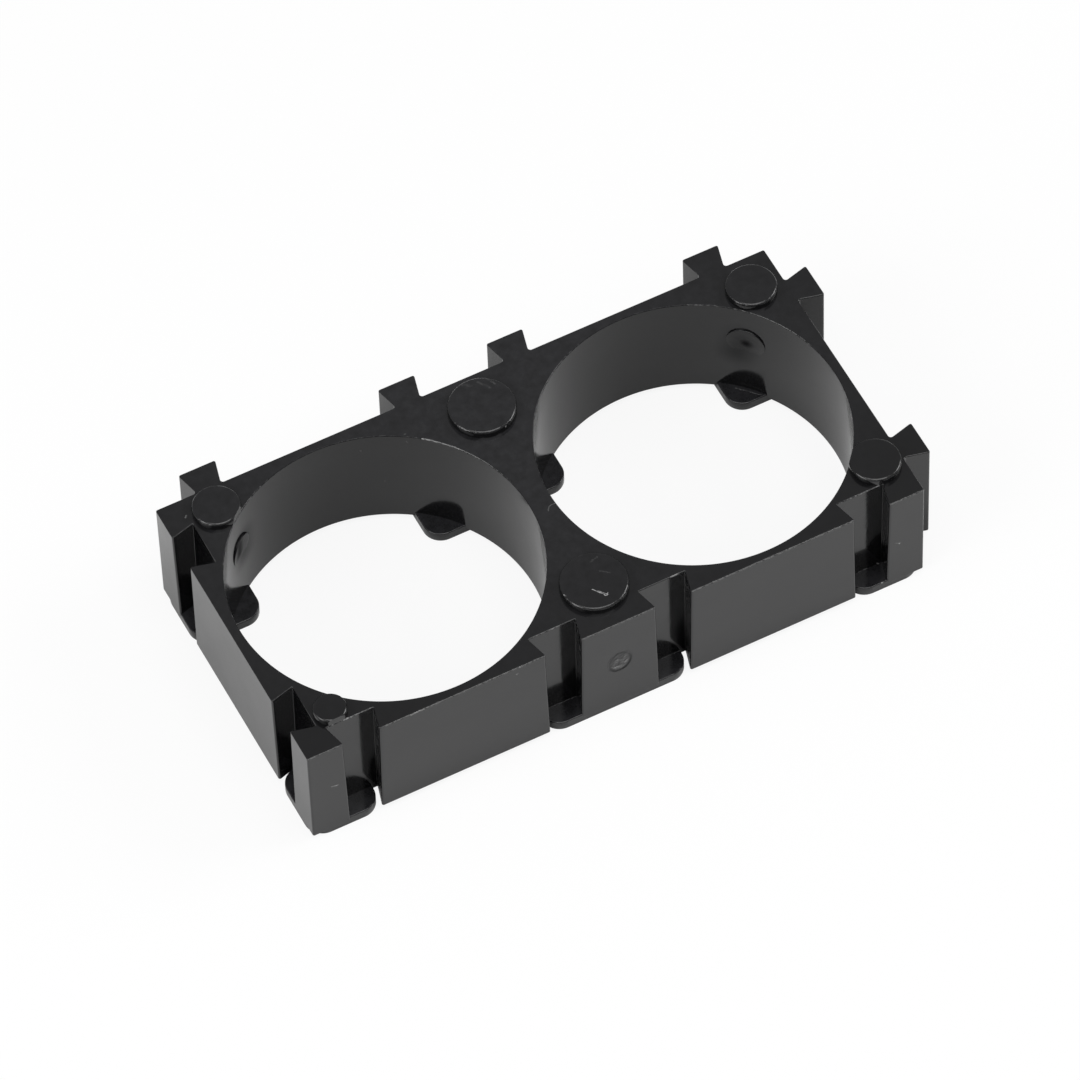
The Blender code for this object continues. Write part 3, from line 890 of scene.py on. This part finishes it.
def mark_tree():
    """A shader group: a strength on the line between two points, which falls to 0 at its half width."""
    tree = bpy.data.node_groups.new("line_mark", "ShaderNodeTree")
    for label, kind in (
        ("Place", "Vector"), ("Start", "Vector"), ("Run", "Vector"), ("Half Width", "Float"),
        ("Strength", "Float"),
    ):
        tree.interface.new_socket(label, in_out="INPUT", socket_type=f"NodeSocket{kind}")
    tree.interface.new_socket("Fac", in_out="OUTPUT", socket_type="NodeSocketFloat")
    given, result = add_node(tree, "NodeGroupInput"), add_node(tree, "NodeGroupOutput")
    run = given.outputs["Run"]
    away = add_node(
        tree, "ShaderNodeVectorMath", {"operation": "SUBTRACT"},
        links={0: given.outputs["Place"], 1: given.outputs["Start"]},
    )
    along, whole = (
        add_node(tree, "ShaderNodeVectorMath", {"operation": "DOT_PRODUCT"}, links={0: vector, 1: run})
        for vector in (away, run)
    )
    share = add_node(
        tree, "ShaderNodeMath", {"operation": "DIVIDE", "use_clamp": True},
        links={0: along.outputs["Value"], 1: whole.outputs["Value"]},
    )
    nearest = add_node(
        tree, "ShaderNodeVectorMath", {"operation": "SCALE"}, links={0: run, "Scale": share},
    )
    gap = add_node(
        tree, "ShaderNodeVectorMath", {"operation": "DISTANCE"}, links={0: away, 1: nearest},
    )
    fade = add_node(
        tree, "ShaderNodeMapRange", {"interpolation_type": "SMOOTHSTEP"}, {"To Max": 0.0},
        {
            "Value": gap.outputs["Value"], "From Max": given.outputs["Half Width"],
            "To Min": given.outputs["Strength"],
        },
    )
    tree.links.new(fade.outputs["Result"], result.inputs["Fac"])
    return tree


def marks_mask(tree, place, shift, marks):
    """How strong the marks are at each point: the strongest of them all counts."""
    group = bpy.data.node_groups.get("line_mark") or mark_tree()
    total = None
    for start, end, half_width, strength in marks:
        first, last = Vector(start) * MM + shift, Vector(end) * MM + shift
        mark = add_node(
            tree, "ShaderNodeGroup", {"node_tree": group},
            {"Start": first, "Run": last - first, "Half Width": half_width * MM, "Strength": strength},
            {"Place": place},
        )
        if total is None:
            total = mark
        else:
            total = add_node(
                tree, "ShaderNodeMath", {"operation": "MAXIMUM"}, links={0: total, 1: mark},
            )
    return total


def light_marks_and_highlights(tree, place, shift, ragged):
    """The light marks and painted highlights, whose edges stray and which have gaps where the ragged
    noise is low.
    """
    centred = add_node(
        tree, "ShaderNodeVectorMath", {"operation": "SUBTRACT"}, {1: (0.5, 0.5, 0.5)},
        {0: ragged.outputs["Color"]},
    )
    pushed = add_node(
        tree, "ShaderNodeVectorMath", {"operation": "MULTIPLY_ADD"},
        {1: (MARK_STRAY, MARK_STRAY, MARK_STRAY)}, {0: centred, 2: place},
    )
    marks = marks_mask(tree, pushed, shift, MARKS_AND_HIGHLIGHTS)
    gaps = add_node(
        tree, "ShaderNodeMapRange",
        values={"From Min": 0.38, "From Max": 0.55, "To Min": 0.25, "To Max": 1.0},
        links={"Value": ragged},
    )
    return add_node(tree, "ShaderNodeMath", {"operation": "MULTIPLY"}, links={0: marks, 1: gaps})


def moulded_black_abs(shift):
    """Black ABS, injection-moulded in a smooth tool: an even deep black under a clear gloss that
    mirrors the lips in the walls. It has faint clouds and ripple, worn edges, a film of dust, small
    light scratches and burrs, and dull places. Light lines painted along some edges, rims and creases
    stand in for their highlights, and the lips below the cells are made lightest.
    """
    finish = bpy.context.scene.holder_finish
    material, tree, output = new_material("moulded_black_abs")
    coordinates = add_node(tree, "ShaderNodeTexCoord")
    place = coordinates.outputs["Object"]
    facing = add_node(tree, "ShaderNodeSeparateXYZ", links={"Vector": coordinates.outputs["Normal"]})
    height = add_node(tree, "ShaderNodeSeparateXYZ", links={"Vector": place})
    noises = {
        name: add_node(
            tree, "ShaderNodeTexNoise", values={"Scale": 1 / size, "Detail": detail, "Roughness": rough},
            links={"Vector": place},
        )
        for name, (size, detail, rough) in NOISES.items()
    }

    # Cloudy gloss: patches where the melt lay against the tool a little differently
    gloss = add_node(
        tree, "ShaderNodeMapRange",
        values={
            **NOISE_RANGE, "To Min": finish.roughness - CLOUD_GLOSS,
            "To Max": finish.roughness + CLOUD_DULLING,
        },
        links={"Value": noises["clouds"]},
    )

    # A long ripple from uneven shrinking, and the tool's grain. Wear leaves the rounded edges uneven
    # and duller, which breaks up their highlights: it is strongest where they slope by half. The gate
    # mark is uneven too.
    rippled = add_node(
        tree, "ShaderNodeBump", values={"Strength": FAINT, "Distance": RIPPLE_DEPTH},
        links={"Height": noises["ripple"]},
    )
    level_share = add_node(
        tree, "ShaderNodeMath", {"operation": "PINGPONG"}, {1: 0.5}, {0: facing.outputs["Z"]},
    )
    uneven_share = add_node(
        tree, "ShaderNodeMath", {"operation": "MAXIMUM"},
        links={0: level_share, 1: marks_mask(tree, place, shift, GATE_SKIN)},
    )
    worn = add_node(
        tree, "ShaderNodeBump", values={"Distance": WEAR_DEPTH},
        links={"Strength": uneven_share, "Height": noises["wear"], "Normal": rippled},
    )
    grained = add_node(
        tree, "ShaderNodeBump", values={"Strength": FAINT, "Distance": GRAIN_DEPTH},
        links={"Height": noises["grain"], "Normal": worn},
    )

    # A thin film of dust on what faces up, in blotches, thickest toward the middle of the back. The
    # lips below the cells are made lightest, below a given height
    uneven = add_node(
        tree, "ShaderNodeMapRange", values={**NOISE_RANGE, "To Min": 0.4, "To Max": 1.4},
        links={"Value": noises["blotches"]},
    )
    off_middle = add_node(
        tree, "ShaderNodeVectorMath", {"operation": "SUBTRACT"}, {1: DUST_MIDDLE}, {0: place},
    )
    spread = add_node(
        tree, "ShaderNodeVectorMath", {"operation": "MULTIPLY"},
        {1: (1 / DUST_REACH[0], 1 / DUST_REACH[1], 0)}, {0: off_middle},
    )
    away = add_node(tree, "ShaderNodeVectorMath", {"operation": "LENGTH"}, links={0: spread})
    thick = add_node(
        tree, "ShaderNodeMapRange",
        values={"From Min": 0.4, "From Max": 1.1, "To Min": 1.0, "To Max": 0.1},
        links={"Value": away.outputs["Value"]},
    )
    low = add_node(
        tree, "ShaderNodeMapRange", values={**LIP_LIGHTENING, "To Min": 1.5, "To Max": 0.0},
        links={"Value": height.outputs["Z"]},
    )
    most = add_node(tree, "ShaderNodeMath", {"operation": "MAXIMUM"}, links={0: thick, 1: low})
    upward = add_node(
        tree, "ShaderNodeMapRange", values={"From Min": 0.5, "From Max": 0.95},
        links={"Value": facing.outputs["Z"]},
    )
    settled = add_node(tree, "ShaderNodeMath", {"operation": "MULTIPLY"}, links={0: most, 1: upward})
    film = add_node(tree, "ShaderNodeMath", {"operation": "MULTIPLY"}, links={0: settled, 1: uneven})
    share = add_node(tree, "ShaderNodeMath", {"operation": "MULTIPLY"}, {1: DUST_STRENGTH}, {0: film})
    skin = add_node(
        tree, "ShaderNodeMix", {"data_type": "RGBA"},
        {FIRST_COLOUR: linear(finish.plastic), SECOND_COLOUR: linear(finish.dusty)}, {0: share},
    )

    # Scratches, burrs and painted highlights: lighter and duller than the skin round them
    marks = light_marks_and_highlights(tree, place, shift, noises["ragged"])
    colour = add_node(
        tree, "ShaderNodeMix", {"data_type": "RGBA"}, {SECOND_COLOUR: linear(finish.whitened_and_highlight)},
        {0: marks, FIRST_COLOUR: skin.outputs[MIXED_COLOUR]},
    ).outputs[MIXED_COLOUR]
    rubbed = add_node(
        tree, "ShaderNodeMath", {"operation": "MULTIPLY_ADD"}, {1: EDGE_DULLING},
        {0: level_share, 2: gloss},
    )
    dulled = add_node(
        tree, "ShaderNodeMapRange", values={"To Max": MARK_ROUGHNESS},
        links={"Value": marks, "To Min": rubbed},
    )
    gloss_skin = add_node(
        tree, "ShaderNodeBsdfPrincipled", values={"IOR": 1.5, "Metallic": 0.0},
        links={"Base Color": colour, "Roughness": dulled, "Normal": grained},
    )

    # Dull places: little gloss left
    dull_skin = add_node(tree, "ShaderNodeBsdfDiffuse", links={"Color": colour})
    surface = add_node(
        tree, "ShaderNodeMixShader",
        links={"Fac": marks_mask(tree, place, shift, DULL_PLACES), 1: gloss_skin, 2: dull_skin},
    )
    tree.links.new(surface.outputs[0], output.inputs["Surface"])
    return material


class HOLDER_OT_finish(bpy.types.Operator):
    """Shade the moulded piece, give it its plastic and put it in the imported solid's place"""

    bl_idname = "object.holder_finish"
    bl_label = "Moulded Finish"

    def execute(self, context):
        plan = layout()
        holder = bpy.data.objects["block"]

        def finish(shape):
            bmesh.ops.remove_doubles(shape, verts=shape.verts, dist=MERGE_DISTANCE)
            bmesh.ops.translate(shape, verts=shape.verts, vec=plan.place)

        reshape(holder, finish)
        holder.data.shade_smooth()
        holder.data.set_sharp_from_angle(angle=SHARP_ANGLE)
        weights = holder.modifiers.new("even_faces", "WEIGHTED_NORMAL")
        weights.keep_sharp = True
        weights.mode = "FACE_AREA"
        holder = plain_mesh(holder)
        holder.name = "moulded_holder"
        holder.data.materials.clear()
        holder.data.materials.append(moulded_black_abs(plan.place))
        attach(holder, "root")
        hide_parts(NODE)
        return {"FINISHED"}


# Stage

FLOOR_SIZE = 3.0
FLOOR_GAP = 0.02 * MM

# Camera: azimuth and elevation of the view, its roll, its distance and what it looks at
AZIMUTH = math.radians(-25.321)
ELEVATION = math.radians(54.715)
ROLL = math.radians(-2.375)
DISTANCE = 966.86 * MM
TARGET = Vector((0.505 * MM, 2.976 * MM, 0.65 * MM))
SENSOR = 36.0
LENS = 314.71
CLIP_START = 0.01
CLIP_END = 20.0

# Soft boxes: the place of each and the length of its sides, in metres, and the setting of its power
SOFT_BOXES = (
    ("overhead_box", (0.0, -0.17, 0.68), 0.5, "overhead_power"),
    ("left_box", (-0.55, -0.1, 0.36), 0.4, "left_power"),
    ("right_box", (0.55, -0.1, 0.38), 0.34, "right_power"),
)
PAPER = "#e6e6e6"


def floor_material():
    """Matt white paper, lit by the lamps. The camera sees it near to pure white, with part of its
    shading kept as the holder's shadow; reflections see the lit paper itself.
    """
    stage = bpy.context.scene.stage_settings
    material, tree, output = new_material("matt_white_paper")
    paper = add_node(tree, "ShaderNodeBsdfDiffuse", values={"Color": linear(PAPER)})
    glow = add_node(tree, "ShaderNodeEmission", values={"Color": (1, 1, 1, 1), "Strength": 1.0})
    shown = add_node(
        tree, "ShaderNodeMixShader", values={"Fac": stage.shadow}, links={1: glow, 2: paper},
    )
    rays = add_node(tree, "ShaderNodeLightPath")
    mixed = add_node(
        tree, "ShaderNodeMixShader", links={"Fac": rays.outputs["Is Camera Ray"], 1: paper, 2: shown},
    )
    tree.links.new(mixed.outputs[0], output.inputs["Surface"])
    return material


def studio_world(strength):
    """An even grey room, which shows white behind the floor."""
    world = bpy.data.worlds.new("studio")
    world.use_nodes = True
    tree = world.node_tree
    tree.nodes.clear()
    rays = add_node(tree, "ShaderNodeLightPath")
    level = add_node(
        tree, "ShaderNodeMapRange", values={"To Min": strength, "To Max": 1.0},
        links={"Value": rays.outputs["Is Camera Ray"]},
    )
    background = add_node(
        tree, "ShaderNodeBackground", values={"Color": (1, 1, 1, 1)}, links={"Strength": level},
    )
    add_node(tree, "ShaderNodeOutputWorld", links={"Surface": background})
    bpy.context.scene.world = world


def soft_box(name, place, size, power):
    """A square area lamp that faces the holder."""
    lamp = bpy.data.lights.new(name, "AREA")
    lamp.shape = "SQUARE"
    lamp.size = size
    lamp.energy = power
    thing = new_object(name, lamp)
    thing.location = place
    thing.rotation_euler = (-Vector(place)).to_track_quat("-Z", "Y").to_euler()


def photo_camera():
    """The camera that takes the view of the photograph."""
    flat = math.cos(ELEVATION)
    backward = Vector((math.sin(AZIMUTH) * flat, -math.cos(AZIMUTH) * flat, math.sin(ELEVATION)))
    right = Vector((math.cos(AZIMUTH), math.sin(AZIMUTH), 0))
    up = backward.cross(right)
    rolled_right = math.cos(ROLL) * right + math.sin(ROLL) * up
    rolled_up = math.cos(ROLL) * up - math.sin(ROLL) * right
    turn = Matrix((rolled_right, rolled_up, backward)).transposed().to_4x4()
    data = bpy.data.cameras.new("photo_camera")
    data.sensor_width = SENSOR
    data.lens = LENS
    data.clip_start = CLIP_START
    data.clip_end = CLIP_END
    camera = new_object("photo_camera", data)
    camera.matrix_world = Matrix.Translation(TARGET + backward * DISTANCE) @ turn
    bpy.context.scene.camera = camera


class HOLDER_OT_stage(bpy.types.Operator):
    """Set up the floor, the soft light and the camera"""

    bl_idname = "object.holder_stage"
    bl_label = "Studio Stage"

    def execute(self, context):
        stage = context.scene.stage_settings
        bpy.ops.mesh.primitive_plane_add(size=FLOOR_SIZE, location=(0, 0, -FLOOR_GAP))
        floor = context.object
        floor.name = "studio_floor"
        floor.data.materials.append(floor_material())
        studio_world(stage.surroundings)
        for name, place, side, power in SOFT_BOXES:
            soft_box(name, place, side, getattr(stage, power))
        photo_camera()
        context.scene.view_settings.view_transform = "Standard"
        return {"FINISHED"}


class HOLDER_PT_panel(bpy.types.Panel):
    """Lists the holder's steps and sizes"""

    bl_label = "Cell Holder"
    bl_idname = "HOLDER_PT_panel"
    bl_space_type = "VIEW_3D"
    bl_region_type = "UI"
    bl_category = "Cell Holder"

    def draw(self, context):
        for operator in STEPS:
            self.layout.operator(operator.bl_idname)
        scene = context.scene
        for group in (scene.holder_sizes, scene.holder_finish, scene.stage_settings):
            box = self.layout.box()
            for name in group.__annotations__:
                box.prop(group, name)


GROUPS = (
    ("holder_sizes", HolderSizes),
    ("holder_finish", HolderFinish),
    ("stage_settings", StageSettings),
)
STEPS = (
    HOLDER_OT_block, HOLDER_OT_pads, HOLDER_OT_lips, HOLDER_OT_marks, HOLDER_OT_finish, HOLDER_OT_stage,
)


def register():
    """Register the add-on's classes and hang its settings on the scene."""
    for name, group in GROUPS:
        bpy.utils.register_class(group)
        setattr(bpy.types.Scene, name, bpy.props.PointerProperty(type=group))
    for operator in STEPS:
        bpy.utils.register_class(operator)
    bpy.utils.register_class(HOLDER_PT_panel)


def unregister():
    """Take back what register added."""
    bpy.utils.unregister_class(HOLDER_PT_panel)
    for operator in reversed(STEPS):
        bpy.utils.unregister_class(operator)
    for name, group in reversed(GROUPS):
        delattr(bpy.types.Scene, name)
        bpy.utils.unregister_class(group)


def main():
    """Build the holder and its stage."""
    register()
    bpy.ops.object.holder_block()
    bpy.ops.object.holder_pads()
    bpy.ops.object.holder_lips()
    bpy.ops.object.holder_marks()
    bpy.ops.object.holder_finish()
    bpy.ops.object.holder_stage()


if __name__ == "__main__":
    main()
